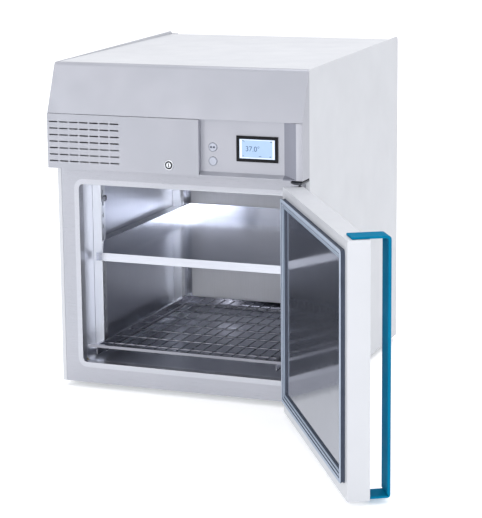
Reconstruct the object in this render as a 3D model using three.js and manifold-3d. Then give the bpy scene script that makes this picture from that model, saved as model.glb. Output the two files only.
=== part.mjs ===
// A benchtop laboratory incubator: an insulated cabinet with a stainless steel chamber, a hood with
// the controls, a shelf, a pull-out tray and a front door that stands open on its right-hand hinges.
//
// Millimetres, +Z up. The model is drawn with X = 0 in the middle of the cabinet, Y = 0 on the face
// of the front frame (+Y runs back into the cabinet) and Z = 0 on the underside of the base tray.
// The last lines move the origin to the middle of the plane the feet stand on. The door is drawn
// closed, and a group turns it about its hinge pins to the angle at which it stands open.

import * as THREE from "three";
import { ConvexGeometry } from "three/addons/geometries/ConvexGeometry.js";
import { mergeVertices } from "three/addons/utils/BufferGeometryUtils.js";
import Module from "manifold-3d";

const wasm = await Module();
wasm.setup();

// ---------------------------------------------------------------- driving dimensions
const CABINET = { width: 710, depth: 770, frontHeight: 866, backHeight: 884 };
const HALF = CABINET.width / 2;
const SHEET = 2; // outer sheet metal
const THIN = 1.5; // inner sheet metal
const GAP = 0.3; // clearance between pieces that meet

const OPENING = { half: 294, bottom: 56, top: 543 }; // the chamber's mouth
const FRAME_TOP = 602;
const LINER = { front: 24.4, back: 722, corner: 14 };
const BAFFLE = { y: 688, half: 265 };
const INSULATION = { half: 343, bottom: 3, top: 603, back: 757 };

const HOOD = { bottom: 592.5, crease: 739, creaseY: -50, faceY: -54, lipBack: 12.2 };
const VENT_RIGHT = 75; // where the service cover ends and the control panel begins
const CONTROL_Y = -40; // the sunken face of the control panel

const DOOR = {
  open: 121.6, // degrees from closed
  width: 693,
  thickness: 51,
  bottom: -3.5,
  top: 579,
  innerY: -12.5,
  hingeInset: 7,
  hingeDepth: 9,
};
const HINGE = { x: HALF - DOOR.hingeInset, y: DOOR.innerY - DOOR.thickness + DOOR.hingeDepth };
const PIN_RADIUS = 3;
const SEAL = { side: 21, top: 24, bottom: 34.5, width: 17, step: 8 };
const HANDLE = { inset: 8, width: 54, stand: 41.5, bar: 7, arm: 5, tip: 12, tab: 10 };

const UPRIGHT = { x0: 268.5, x1: 293.6, front: 80, rear: 617, depth: 25, bottom: 72, top: 528 };
const SHELF = { front: 68, back: 680, half: 264, lipHalf: 281, floor: 343, guard: 376 };
const TRAY = { drawn: 65, half: 258.4, lipHalf: 281, bottom: 76, floor: 102.5, top: 106 };

const FAN = { x: 0, z: 300, radius: 80, ringRadius: 102 };
const LOCK = { x: -7.5, z: 616 };
const BUTTONS = { x: 109, upper: 666, lower: 630, radius: 11.5 };
const DISPLAY = { x0: 174, x1: 286, z0: 633, z1: 699, border: 8 };
const FOOT = { x: 290, front: 90, rear: 690, height: 15, radius: 23 };

// ---------------------------------------------------------------- materials
function finish(color, roughness, metalness) {
  return new THREE.MeshStandardMaterial({ color, roughness, metalness });
}
const WHITE = finish(0xe4e8f0, 0.4, 0.1);
const SILVER = finish(0xc8cdd7, 0.4, 0.5);
const STAINLESS = finish(0xb9bcc6, 0.28, 1.0);
const MIRROR = finish(0x8b8f98, 0.12, 1.0);
const GALVANISED = finish(0x9fa4aa, 0.5, 0.8);
const DARK_METAL = finish(0x45474f, 0.45, 0.8);
const BLUE = finish(0x0f86bd, 0.35, 0.1);
const SEAL_GREY = finish(0x9fafbf, 0.6, 0.0);
const BLACK = finish(0x111216, 0.35, 0.0);
const SCREEN = finish(0xc4daf2, 0.15, 0.0);
const BUTTON_GREY = finish(0xccced8, 0.45, 0.1);
const FOAM = finish(0xe9dfb8, 0.95, 0.0);
const RUBBER = finish(0x222326, 0.85, 0.0);
const BOARD_GREEN = finish(0x1f5f3a, 0.5, 0.1);
const BRASS = finish(0xb08d4a, 0.35, 0.9);

// ---------------------------------------------------------------- shape helpers
function box(x0, x1, y0, y1, z0, z1) {
  const geometry = new THREE.BoxGeometry(x1 - x0, y1 - y0, z1 - z0);
  return geometry.translate((x0 + x1) / 2, (y0 + y1) / 2, (z0 + z1) / 2);
}

function shapeOf(points) {
  return new THREE.Shape(points.map(([a, b]) => new THREE.Vector2(a, b)));
}

function extruded(shape, length, curveSegments = 4) {
  return new THREE.ExtrudeGeometry(shape, { depth: length, bevelEnabled: false, curveSegments });
}

// A section drawn in (y, z), run along X from x0 to x1.
function alongX(shape, x0, x1, curveSegments) {
  const basis = new THREE.Matrix4().makeBasis(
    new THREE.Vector3(0, 1, 0),
    new THREE.Vector3(0, 0, 1),
    new THREE.Vector3(1, 0, 0),
  );
  return extruded(shape, x1 - x0, curveSegments).applyMatrix4(basis).translate(x0, 0, 0);
}

// A section drawn in (x, z), run along Y from y0 to y1.
function alongY(shape, y0, y1, curveSegments) {
  return extruded(shape, y1 - y0, curveSegments).rotateX(Math.PI / 2).translate(0, y1, 0);
}

// A section drawn in (x, y), run up Z from z0 to z1.
function alongZ(shape, z0, z1, curveSegments) {
  return extruded(shape, z1 - z0, curveSegments).translate(0, 0, z0);
}

// A closed [radius, height] profile turned about a vertical axis, or about one along Y.
function turned(profile, segments = 24) {
  return new THREE.LatheGeometry(profile.map(([r, h]) => new THREE.Vector2(r, h)), segments);
}
function turnedZ(profile, x, y, segments) {
  return turned(profile, segments).rotateX(Math.PI / 2).translate(x, y, 0);
}
function turnedY(profile, x, z, segments) {
  return turned(profile, segments).translate(x, 0, z);
}
function rodZ(x, y, r, z0, z1, segments) {
  return turnedZ([[0, z0], [r, z0], [r, z1], [0, z1]], x, y, segments);
}
function rodY(x, z, r, y0, y1, segments) {
  return turnedY([[0, y0], [r, y0], [r, y1], [0, y1]], x, z, segments);
}
function ringZ(x, y, inner, outer, z0, z1, segments) {
  const section = [[inner, z0], [outer, z0], [outer, z1], [inner, z1], [inner, z0]];
  return turnedZ(section, x, y, segments);
}

function roundedRect(x0, x1, z0, z1, r) {
  const s = new THREE.Shape();
  s.moveTo(x0 + r, z0).lineTo(x1 - r, z0).absarc(x1 - r, z0 + r, r, -Math.PI / 2, 0);
  s.lineTo(x1, z1 - r).absarc(x1 - r, z1 - r, r, 0, Math.PI / 2);
  s.lineTo(x0 + r, z1).absarc(x0 + r, z1 - r, r, Math.PI / 2, Math.PI);
  s.lineTo(x0, z0 + r).absarc(x0 + r, z0 + r, r, Math.PI, 1.5 * Math.PI);
  return s;
}

// A rectangular ring in the XZ plane, from the outer rectangle inwards by `width`, y0 to y1.
function frameRing(x0, x1, z0, z1, width, y0, y1) {
  const ring = shapeOf([[x0, z0], [x1, z0], [x1, z1], [x0, z1]]);
  const [a, b, c, d] = [x0 + width, x1 - width, z0 + width, z1 - width];
  ring.holes.push(new THREE.Path([[a, c], [b, c], [b, d], [a, d]].map((p) => new THREE.Vector2(...p))));
  return alongY(ring, y0, y1);
}

// ---------------------------------------------------------------- joining and cutting
function solid(geometry) {
  const bare = geometry.clone();
  bare.deleteAttribute("normal");
  bare.deleteAttribute("uv");
  const merged = mergeVertices(bare, 1e-4);
  // Positions are held to a micrometre, so that faces meant to be flush share one plane exactly.
  const vertProperties = merged.attributes.position.array.map((v) => Math.round(v * 1e3) / 1e3);
  const triVerts = new Uint32Array(merged.index.array);
  let made = new wasm.Manifold(new wasm.Mesh({ numProp: 3, vertProperties, triVerts }));
  if (made.volume() < 0) {
    for (let i = 0; i < triVerts.length; i += 3) {
      [triVerts[i + 1], triVerts[i + 2]] = [triVerts[i + 2], triVerts[i + 1]];
    }
    made = new wasm.Manifold(new wasm.Mesh({ numProp: 3, vertProperties, triVerts }));
  }
  return made;
}

function geometryOf(manifold) {
  const mesh = manifold.getMesh();
  const positions = new Float32Array(mesh.numVert * 3);
  for (let i = 0; i < mesh.numVert; i++) {
    positions.set(mesh.vertProperties.subarray(i * mesh.numProp, i * mesh.numProp + 3), i * 3);
  }
  const geometry = new THREE.BufferGeometry();
  geometry.setAttribute("position", new THREE.BufferAttribute(positions, 3));
  geometry.setIndex(new THREE.BufferAttribute(mesh.triVerts, 1));
  return geometry;
}

function joined(...geometries) {
  return geometries.map(solid).reduce((whole, piece) => whole.add(piece));
}

function built(added, removed = []) {
  const whole = joined(...added);
  return geometryOf(removed.length ? whole.subtract(joined(...removed)) : whole);
}

const cabinet = new THREE.Group();
function place(group, name, material, geometry) {
  const mesh = new THREE.Mesh(geometry, material);
  mesh.name = name;
  group.add(mesh);
  return mesh;
}

// Two mirrored copies of a piece that is drawn on the left, x < 0.
function placePair(group, baseName, material, geometry) {
  place(group, `${baseName}_left`, material, geometry);
  const other = geometryOf(solid(geometry).mirror([1, 0, 0]));
  place(group, `${baseName}_right`, material, other);
}

// ---------------------------------------------------------------- outer casing
function sidePanelGeometry() {
  const frontFlange = 10;
  const rearFlange = 22;
  const rounding = 16;
  const outer = -HALF;
  const inner = outer + SHEET;
  const section = shapeOf([
    [outer, 0],
    [outer + frontFlange, 0],
    [outer + frontFlange, SHEET],
    [inner, SHEET],
    [inner, CABINET.depth - SHEET],
    [outer + rearFlange, CABINET.depth - SHEET],
    [outer + rearFlange, CABINET.depth],
    [outer, CABINET.depth],
  ]);
  const outline = new THREE.Shape();
  outline.moveTo(-1, 0).lineTo(CABINET.depth, 0).lineTo(CABINET.depth, CABINET.backHeight - rounding);
  outline.quadraticCurveTo(
    CABINET.depth,
    CABINET.backHeight,
    CABINET.depth - rounding,
    CABINET.backHeight,
  );
  outline.lineTo(CABINET.depth - 3 * rounding, CABINET.backHeight - 1);
  outline.lineTo(-1, CABINET.frontHeight);
  // The front flange stops below the hood's top lip.
  const notch = solid(box(inner + GAP, outer + 20, -1, SHEET + 1, 855, 900));
  const sheet = solid(alongZ(section, 0, CABINET.backHeight + 1)).subtract(notch);
  return geometryOf(sheet.intersect(solid(alongX(outline, outer - 1, outer + 40, 5))));
}
placePair(cabinet, "side_panel", WHITE, sidePanelGeometry());

const COVER = { front: HOOD.lipBack + 0.4, back: 764, half: HALF - SHEET - 0.4, rise: 10 };
function topCoverGeometry() {
  const front = CABINET.frontHeight - 0.6;
  const rear = front + COVER.rise;
  const flange = 14;
  const profile = shapeOf([
    [COVER.front, front - flange],
    [COVER.front + SHEET, front - flange],
    [COVER.front + SHEET, front - SHEET],
    [COVER.back - SHEET, rear - SHEET],
    [COVER.back - SHEET, rear - flange],
    [COVER.back, rear - flange],
    [COVER.back, rear],
    [COVER.front, front],
  ]);
  return alongX(profile, -COVER.half, COVER.half);
}
place(cabinet, "top_cover", WHITE, topCoverGeometry());

const REAR_Y = 765.5;
const INLET = { x: 264, z: 664, halfWidth: 23, halfHeight: 13.5 };
function rearPanelGeometry() {
  const half = HALF - SHEET - 0.5;
  const slots = [];
  for (let row = 0; row < 4; row++) {
    for (const x of [-210, -140, -70]) {
      slots.push(box(x, x + 50, REAR_Y - 1, REAR_Y + 3, 760 + row * 16, 766 + row * 16));
    }
    slots.push(box(-60, 60, REAR_Y - 1, REAR_Y + 3, 268 + row * 20, 275 + row * 20));
  }
  const { x, z, halfWidth, halfHeight } = INLET;
  slots.push(
    box(x - halfWidth, x + halfWidth, REAR_Y - 1, REAR_Y + 3, z - halfHeight, z + halfHeight),
  );
  return built([box(-half, half, REAR_Y, REAR_Y + THIN, 2.6, 858)], slots);
}
place(cabinet, "rear_panel", GALVANISED, rearPanelGeometry());

function baseTrayGeometry() {
  const half = HALF - SHEET - 0.5;
  const [front, back, rim] = [SHEET + 0.4, 764.8, 20];
  const hollow = half - SHEET;
  return built(
    [box(-half, half, front, back, 0, rim)],
    [box(-hollow, hollow, front - 1, back - SHEET, SHEET, rim + 1)],
  );
}
place(cabinet, "base_tray", GALVANISED, baseTrayGeometry());

const FRAME_HALF = HALF - 10.5;
function frontFrameGeometry() {
  const { half, bottom, top } = OPENING;
  const returned = THIN;
  const back = LINER.front - 0.4;
  return built(
    [
      box(-FRAME_HALF, FRAME_HALF, 0, SHEET, 0.3, FRAME_TOP),
      box(-half - returned, half + returned, 1, back, bottom - returned, top + returned),
    ],
    [box(-half, half, -1, back + 1, bottom, top)],
  );
}
place(cabinet, "front_frame", SILVER, frontFrameGeometry());

function bulkheadGeometry() {
  const plate = box(-FRAME_HALF, FRAME_HALF, 0, SHEET, FRAME_TOP + 0.5, 850);
  return built([plate], [box(-300, 300, -1, SHEET + 1, 650, 810)]);
}
place(cabinet, "front_bulkhead", GALVANISED, bulkheadGeometry());

function footGeometry(x, y) {
  const r = FOOT.radius;
  const base = -FOOT.height;
  const profile = [[0, base], [r - 2, base], [r, base + 2], [r, base + 7], [9, base + 9]];
  profile.push([6, base + 9], [6, -GAP], [0, -GAP]);
  return turnedZ(profile, x, y, 24);
}
for (const [end, y] of [["front", FOOT.front], ["rear", FOOT.rear]]) {
  place(cabinet, `foot_${end}_left`, RUBBER, footGeometry(-FOOT.x, y));
  place(cabinet, `foot_${end}_right`, RUBBER, footGeometry(FOOT.x, y));
}

// ---------------------------------------------------------------- hood and controls
function hoodShellGeometry() {
  const top = CABINET.frontHeight + 0.4;
  const { crease, creaseY, bottom, lipBack } = HOOD;
  const slope = new THREE.Vector2(creaseY, crease - top).normalize();
  const inward = new THREE.Vector2(-slope.y, slope.x).multiplyScalar(SHEET);
  const lipInner = top - SHEET;

  const profile = new THREE.Shape();
  profile.moveTo(lipBack, top).lineTo(8, top);
  profile.quadraticCurveTo(0, top, slope.x * 10, top + slope.y * 10);
  profile.lineTo(creaseY, crease).lineTo(creaseY, crease - 2).lineTo(creaseY + 14, crease - 2);
  profile.lineTo(creaseY + 14, crease).lineTo(creaseY + inward.x + 1, crease);
  profile.lineTo(slope.x * 10 + inward.x, top + slope.y * 10 + inward.y);
  profile.quadraticCurveTo(inward.x, lipInner, 10, lipInner).lineTo(lipBack, lipInner);

  const cheek = new THREE.Shape();
  const [front, back] = [HOOD.faceY + 3, -GAP];
  cheek.moveTo(back, bottom).lineTo(front, bottom).lineTo(front, crease - 2);
  cheek.lineTo(creaseY, crease - 2).lineTo(creaseY, crease);
  cheek.lineTo(slope.x * 10, top + slope.y * 10).lineTo(back, top - 8);

  const lipDepth = [-46, -44.2];
  const between = HALF - SHEET - 2 * GAP; // the top lip lies between the side panels
  return built(
    [
      alongX(profile, -HALF, HALF, 4),
      alongX(cheek, -HALF, -HALF + SHEET),
      alongX(cheek, HALF - SHEET, HALF),
      box(-HALF + 1, HALF - 1, front + 1, -1, bottom, bottom + SHEET),
      box(-HALF + 1, VENT_RIGHT - 8, ...lipDepth, bottom + 1, bottom + 12),
    ],
    [
      box(-HALF - 1, -between, -GAP, lipBack + 1, crease, top + 1),
      box(between, HALF + 1, -GAP, lipBack + 1, crease, top + 1),
    ],
  );
}
place(cabinet, "hood_shell", SILVER, hoodShellGeometry());

const VENT = { rows: 7, columns: 7, left: -349.5, topZ: 715.3, pitchX: 29.3, pitchZ: 17.2 };
function ventPanelGeometry() {
  const [front, back] = [HOOD.faceY, HOOD.faceY + 2.5];
  const [bottom, top] = [HOOD.bottom, HOOD.crease - 2.6];
  const dash = { length: 25, height: 4.5 };
  const removed = [rodY(LOCK.x, LOCK.z, 10, front - 1, back + 1, 24)];
  for (let row = 0; row < VENT.rows; row++) {
    for (let column = 0; column < VENT.columns; column++) {
      const x = VENT.left + column * VENT.pitchX;
      const z = VENT.topZ - row * VENT.pitchZ;
      removed.push(box(x, x + dash.length, front - 1, back + 1, z - dash.height / 2, z + dash.height / 2));
    }
  }
  const sheet = box(-HALF, VENT_RIGHT, front, back, bottom, top);
  const end = box(VENT_RIGHT - SHEET, VENT_RIGHT, front + 1, CONTROL_Y + 2, bottom + 2.4, top);
  return built([sheet, end], removed);
}
place(cabinet, "vent_panel", SILVER, ventPanelGeometry());

// The control panel is sunk behind the hood's face, and slopes out to it at its right and bottom.
function controlPanelGeometry() {
  const [left, right] = [VENT_RIGHT + 0.4, HALF];
  const [bottom, top] = [HOOD.bottom, HOOD.crease - 2.6];
  const back = HOOD.faceY + 2.6;
  const thickness = 4;
  const flat = { right: 302, bottom: 603 };
  const front = HOOD.faceY - 2;
  const beyond = 4;
  const rim = 344; // where the slope at the right would reach the plane at `front`
  const corners = [
    [left - beyond, CONTROL_Y, flat.bottom],
    [flat.right, CONTROL_Y, flat.bottom],
    [flat.right, CONTROL_Y, top + beyond],
    [left - beyond, CONTROL_Y, top + beyond],
    [left - beyond, front, bottom + 1],
    [rim, front, bottom + 1],
    [rim, front, top + beyond],
    [left - beyond, front, top + beyond],
  ];
  const pocket = new ConvexGeometry(corners.map((p) => new THREE.Vector3(...p)));
  const { x0, x1, z0, z1 } = DISPLAY;
  const edge = 5;
  const behind = CONTROL_Y + thickness;
  const removed = [
    pocket,
    box(x0 + edge, x1 - edge, CONTROL_Y - 1, behind + 1, z0 + edge, z1 - edge),
    rodY(BUTTONS.x, BUTTONS.upper, BUTTONS.radius + 0.5, CONTROL_Y - 1, behind + 1, 24),
    rodY(BUTTONS.x, BUTTONS.lower, BUTTONS.radius + 0.5, CONTROL_Y - 1, behind + 1, 24),
    box(left - 1, right + 1, back, behind + 1, bottom - 1, bottom + SHEET + 0.4),
    box(right - SHEET - 0.4, right + 1, back, behind + 1, bottom - 1, top + 1),
  ];
  return built([box(left, right, HOOD.faceY, behind, bottom, top)], removed);
}
place(cabinet, "control_panel", SILVER, controlPanelGeometry());

function displayPieces() {
  const { x0, x1, z0, z1, border } = DISPLAY;
  const back = CONTROL_Y - GAP;
  place(cabinet, "display_bezel", BLACK, frameRing(x0, x1, z0, z1, border, back - 2.7, back));
  const inset = border + GAP;
  place(
    cabinet,
    "display_screen",
    SCREEN,
    box(x0 + inset, x1 - inset, back - 2, back - 0.4, z0 + inset, z1 - inset),
  );
  const module = [
    box(x0 + inset, x1 - inset, CONTROL_Y - 0.2, CONTROL_Y + 8, z0 + inset, z1 - inset),
    box(x0 + inset - 1, x1 - inset + 1, CONTROL_Y + 6, CONTROL_Y + 20, z0 + inset - 1, z1 - inset + 1),
    box(x0 + 40, x1 - 40, CONTROL_Y + 19, CONTROL_Y + 26, z0 + 12, z0 + 24),
  ];
  place(cabinet, "display_module", BLACK, built(module));
}
displayPieces();

function buttonGeometry(z) {
  const r = BUTTONS.radius;
  const [face, behind] = [CONTROL_Y - 1.5, CONTROL_Y + 4.6];
  const profile = [[0, face], [r - 1, face], [r, face + 1], [r, behind], [r + 2, behind]];
  profile.push([r + 2, behind + 2], [4, behind + 2], [4, behind + 8], [0, behind + 8]);
  return turnedY(profile, BUTTONS.x, z, 24);
}
place(cabinet, "upper_button", BUTTON_GREY, buttonGeometry(BUTTONS.upper));
place(cabinet, "lower_button", BUTTON_GREY, buttonGeometry(BUTTONS.lower));

function lockPieces() {
  const { x, z } = LOCK;
  const face = HOOD.faceY;
  const housing = [
    [7, face - 2.8],
    [12, face - 2.8],
    [13, face - 1.8],
    [13, face - GAP],
    [9.5, face - GAP],
    [9.5, face + 9.5],
    [7, face + 9.5],
    [7, face - 2.8],
  ];
  place(cabinet, "lock_housing", STAINLESS, turnedY(housing, x, z, 24));
  const barrelEnd = face + 11.5;
  const keyway = box(x - 1, x + 1, face - 5, face - 0.5, z - 4.5, z + 4.5);
  const barrel = built([rodY(x, z, 6.7, face - 3.4, barrelEnd, 24)], [keyway]);
  place(cabinet, "lock_barrel", STAINLESS, barrel);
  const camY = barrelEnd + GAP;
  const cam = [
    box(x - 5, x + 5, camY, camY + SHEET, z, z + 26),
    rodY(x, z, 7, camY, camY + SHEET, 16),
  ];
  place(cabinet, "lock_cam", DARK_METAL, built(cam));
}
lockPieces();

// ---------------------------------------------------------------- chamber and insulation
const SHAFT_HOLE = 8;
const TAIL = { x: 40, radius: 3 };
const MOTOR = { recess: 58, plate: 54, radius: 46, length: 35 };
function linerGeometry() {
  const { half, bottom, top } = OPENING;
  const outer = roundedRect(-half - THIN, half + THIN, bottom - THIN, top + THIN, LINER.corner + THIN);
  const inner = roundedRect(-half, half, bottom, top, LINER.corner);
  const removed = [
    alongY(inner, LINER.front - 1, LINER.back, 3),
    rodY(FAN.x, FAN.z, SHAFT_HOLE, LINER.back - 1, LINER.back + 4, 16),
  ];
  for (const side of [-1, 1]) {
    const x = FAN.x + side * TAIL.x;
    removed.push(rodY(x, FAN.z + heaterTailHeight(), 5, LINER.back - 1, LINER.back + 4, 12));
  }
  return built([alongY(outer, LINER.front, LINER.back + THIN, 3)], removed);
}
function heaterTailHeight() {
  return Math.sqrt(FAN.ringRadius ** 2 - TAIL.x ** 2);
}
place(cabinet, "chamber_liner", STAINLESS, linerGeometry());

// A square slab about the fan's axis.
function squareAround(half, y0, y1) {
  return box(FAN.x - half, FAN.x + half, y0, y1, FAN.z - half, FAN.z + half);
}

function insulationGeometry() {
  const { half, bottom, top } = OPENING;
  const grow = THIN + 0.7;
  const removed = [
    box(-half - grow, half + grow, 0, LINER.back + THIN + 0.4, bottom - grow, top + grow),
    squareAround(MOTOR.recess, LINER.back, INSULATION.back + 1),
  ];
  for (const side of [-1, 1]) {
    const x = FAN.x + side * TAIL.x;
    removed.push(rodY(x, FAN.z + heaterTailHeight(), 5, LINER.back, INSULATION.back + 1, 12));
  }
  const block = [SHEET + 0.5, INSULATION.back, INSULATION.bottom, INSULATION.top];
  return built([box(-INSULATION.half, INSULATION.half, ...block)], removed);
}
place(cabinet, "chamber_insulation", FOAM, insulationGeometry());

// The back wall of the chamber: the fan draws air through its middle and blows it out at both sides.
function baffleGeometry() {
  const { y, half } = BAFFLE;
  const [bottom, top] = [OPENING.bottom + 2, OPENING.top - 2];
  const back = LINER.back - GAP;
  const removed = [];
  for (let i = -4; i <= 4; i++) {
    const z = FAN.z + i * 14;
    const reach = Math.sqrt(68 ** 2 - (i * 14) ** 2);
    removed.push(box(-reach, reach, y - 1, y + 3, z - 3, z + 3));
  }
  for (let z = 84; z < 500; z += 49) {
    removed.push(box(-half - 1, half + 1, y + 8, back - 6, z, z + 34));
  }
  return built(
    [
      box(-half, half, y, y + THIN, bottom, top),
      box(-half, -half + THIN, y, back, bottom, top),
      box(half - THIN, half, y, back, bottom, top),
    ],
    removed,
  );
}
place(cabinet, "rear_baffle", STAINLESS, baffleGeometry());

function uprightGeometry(y) {
  const [inner, outer] = [-UPRIGHT.x0, -UPRIGHT.x1];
  const back = y + UPRIGHT.depth;
  const section = shapeOf([
    [outer, y],
    [inner, y],
    [inner, back],
    [outer, back],
    [outer, back - THIN],
    [inner - THIN, back - THIN],
    [inner - THIN, y + THIN],
    [outer, y + THIN],
  ]);
  const slots = [];
  for (let z = UPRIGHT.bottom + 14; z < UPRIGHT.top - 20; z += 32) {
    slots.push(box(inner - 3, inner + 1, y + 9, y + 14, z, z + 12));
  }
  return built([alongZ(section, UPRIGHT.bottom, UPRIGHT.top)], slots);
}
placePair(cabinet, "front_upright", STAINLESS, uprightGeometry(UPRIGHT.front));
placePair(cabinet, "rear_upright", STAINLESS, uprightGeometry(UPRIGHT.rear));

// An angle that hangs on the uprights: a web beside them and a leg that reaches inwards.
function angleGeometry(x, reach, y0, y1, z0, z1, legAtTop) {
  const web = box(x, x + THIN, y0, y1, z0, z1);
  const leg = legAtTop
    ? box(x, x + reach, y0, y1, z1 - THIN, z1)
    : box(x, x + reach, y0, y1, z0, z0 + THIN);
  return built([web, leg]);
}
const RAIL_X = -UPRIGHT.x0 + GAP;
const RAIL_ENDS = [UPRIGHT.front + 2, SHELF.back];
const shelfUnderside = SHELF.floor - THIN;

// The shelf runs on a leg of each rail, and the rail's flange covers the space up to the wall.
function shelfRailGeometry() {
  const [front, back] = RAIL_ENDS;
  const inner = RAIL_X + THIN;
  const wall = -OPENING.half + 1;
  const flange = [SHELF.guard - THIN, SHELF.guard];
  const behindFront = UPRIGHT.front + UPRIGHT.depth + 1;
  const behindRear = UPRIGHT.rear + UPRIGHT.depth + 1;
  return built([
    box(RAIL_X, inner, front, back, shelfUnderside - 19, SHELF.guard),
    box(RAIL_X, RAIL_X + 17, front, back, shelfUnderside - GAP - THIN, shelfUnderside - GAP),
    box(wall, inner, behindFront, UPRIGHT.rear - 1, ...flange),
    box(wall, inner, behindRear, back, ...flange),
  ]);
}
placePair(cabinet, "shelf_rail", STAINLESS, shelfRailGeometry());
placePair(cabinet, "tray_rail", STAINLESS, angleGeometry(RAIL_X, 6.4, ...RAIL_ENDS, 68, 98, false));

const RUNNER = { x: RAIL_X + 2, length: 545, z0: 71, z1: 94, home: 100 };
const runnerFront = RUNNER.home - TRAY.drawn / 2;
placePair(
  cabinet,
  "tray_runner",
  GALVANISED,
  angleGeometry(RUNNER.x, 5, runnerFront, runnerFront + RUNNER.length, RUNNER.z0, RUNNER.z1, false),
);

function shelfGeometry() {
  const { front, back, half, lipHalf, floor, guard } = SHELF;
  const guardFront = front + 4;
  const side = new THREE.Shape();
  side.moveTo(guardFront, floor - 1).lineTo(back, floor - 1).lineTo(back, guard);
  side.lineTo(guardFront + 5, guard).lineTo(guardFront, floor + 2);
  const pieces = [
    box(-half, half, front + 1, back, floor - THIN, floor),
    box(-lipHalf, lipHalf, front, front + THIN, floor - 20, floor + 2),
    box(-lipHalf, lipHalf, front, front + 7, floor - 20, floor - 20 + THIN),
    box(-half, half, back - THIN, back, floor - 1, guard),
  ];
  for (const sign of [-1, 1]) {
    const edges = [sign * half, sign * (half - THIN)].sort((a, b) => a - b);
    pieces.push(alongX(side, ...edges));
    const hem = [sign * (half + 2.4), sign * (half - THIN)].sort((a, b) => a - b);
    pieces.push(box(...hem, guardFront + 5, back, guard - THIN, guard));
  }
  return built(pieces);
}
place(cabinet, "upper_shelf", STAINLESS, shelfGeometry());

function trayGeometry() {
  const front = SHELF.front - TRAY.drawn;
  const back = SHELF.back - TRAY.drawn;
  const { half, lipHalf, bottom, floor, top } = TRAY;
  const rail = 8; // the front rail is square
  const wire = 3.5;
  const pieces = [
    box(-lipHalf, lipHalf, front, front + rail, top - rail, top),
    box(-half, half, back - SHEET, back, bottom + 8, top),
  ];
  for (const side of [-1, 1]) {
    const [outer, web, hem] = [side * half, side * (half - SHEET), side * (half - 8)];
    pieces.push(box(Math.min(outer, web), Math.max(outer, web), front + 1, back, bottom, top));
    pieces.push(box(Math.min(outer, hem), Math.max(outer, hem), front + 1, back, top - THIN, top));
  }
  const spaces = 16;
  const inside = half - SHEET;
  for (let i = 1; i < spaces; i++) {
    const x = -inside + (2 * inside * i) / spaces;
    pieces.push(box(x - wire / 2, x + wire / 2, front + 1, back - 1, floor - wire, floor));
  }
  for (let i = 0; i < 7; i++) {
    const y = front + 60 + i * 80;
    pieces.push(box(-half + 1, half - 1, y, y + 6, floor - wire - 4, floor - 2));
  }
  return built(pieces);
}
place(cabinet, "lower_tray", STAINLESS, trayGeometry());

// ---------------------------------------------------------------- air, heat and electronics
const MOTOR_PLATE = LINER.back + THIN + 0.6;
const MOTOR_FACE = MOTOR_PLATE + SHEET + GAP;
function impellerGeometry() {
  const { x, z, radius } = FAN;
  const disc = { front: LINER.back - 8, back: LINER.back - 6 };
  const bladeFront = BAFFLE.y + 6;
  const pieces = [
    rodY(x, z, radius, disc.front, disc.back, 32),
    rodY(x, z, 13, bladeFront, disc.back, 16),
    rodY(x, z, 5, BAFFLE.y + 4, MOTOR_FACE + 6, 16),
  ];
  const blades = 12;
  for (let i = 0; i < blades; i++) {
    const blade = box(radius - 34, radius - 1, bladeFront, disc.front + 1, -1, 1);
    blade.translate(-(radius - 17), 0, 0).rotateY(0.6).translate(radius - 17, 0, 0);
    pieces.push(blade.rotateY((2 * Math.PI * i) / blades).translate(x, 0, z));
  }
  return built(pieces);
}
place(cabinet, "fan_impeller", GALVANISED, impellerGeometry());

function heaterGeometry() {
  const y = BAFFLE.y + 17;
  const ring = new THREE.TorusGeometry(FAN.ringRadius, 4.5, 8, 32).rotateX(Math.PI / 2);
  const tailZ = FAN.z + heaterTailHeight();
  return built([
    ring.translate(FAN.x, y, FAN.z),
    rodY(FAN.x - TAIL.x, tailZ, TAIL.radius, y, INSULATION.back + 5, 10),
    rodY(FAN.x + TAIL.x, tailZ, TAIL.radius, y, INSULATION.back + 5, 10),
  ]);
}
place(cabinet, "heater_element", DARK_METAL, heaterGeometry());

function motorPieces() {
  const { x, z } = FAN;
  const { radius, length } = MOTOR;
  const mount = squareAround(MOTOR.plate, MOTOR_PLATE, MOTOR_PLATE + SHEET);
  const hole = rodY(x, z, SHAFT_HOLE, MOTOR_PLATE - 1, MOTOR_PLATE + 4, 16);
  place(cabinet, "motor_mount", GALVANISED, built([mount], [hole]));
  const face = MOTOR_FACE;
  const can = [
    [0, face + length],
    [radius - 12, face + length],
    [radius, face + length - 6],
    [radius, face + 4],
    [30, face],
    [5.4, face],
    [5.4, face + 12],
    [0, face + 12],
  ];
  place(cabinet, "fan_motor", DARK_METAL, turnedY(can.reverse(), x, z, 28));
}
motorPieces();

function sensorGeometry() {
  const profile = [[0, -1.5], [7, -1.5], [7, 2], [3, 4], [3, 38], [0, 40]];
  return turned(profile, 16).rotateZ(Math.PI / 2).translate(OPENING.half - 1.9, 150, 495);
}
place(cabinet, "temperature_sensor", STAINLESS, sensorGeometry());

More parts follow.
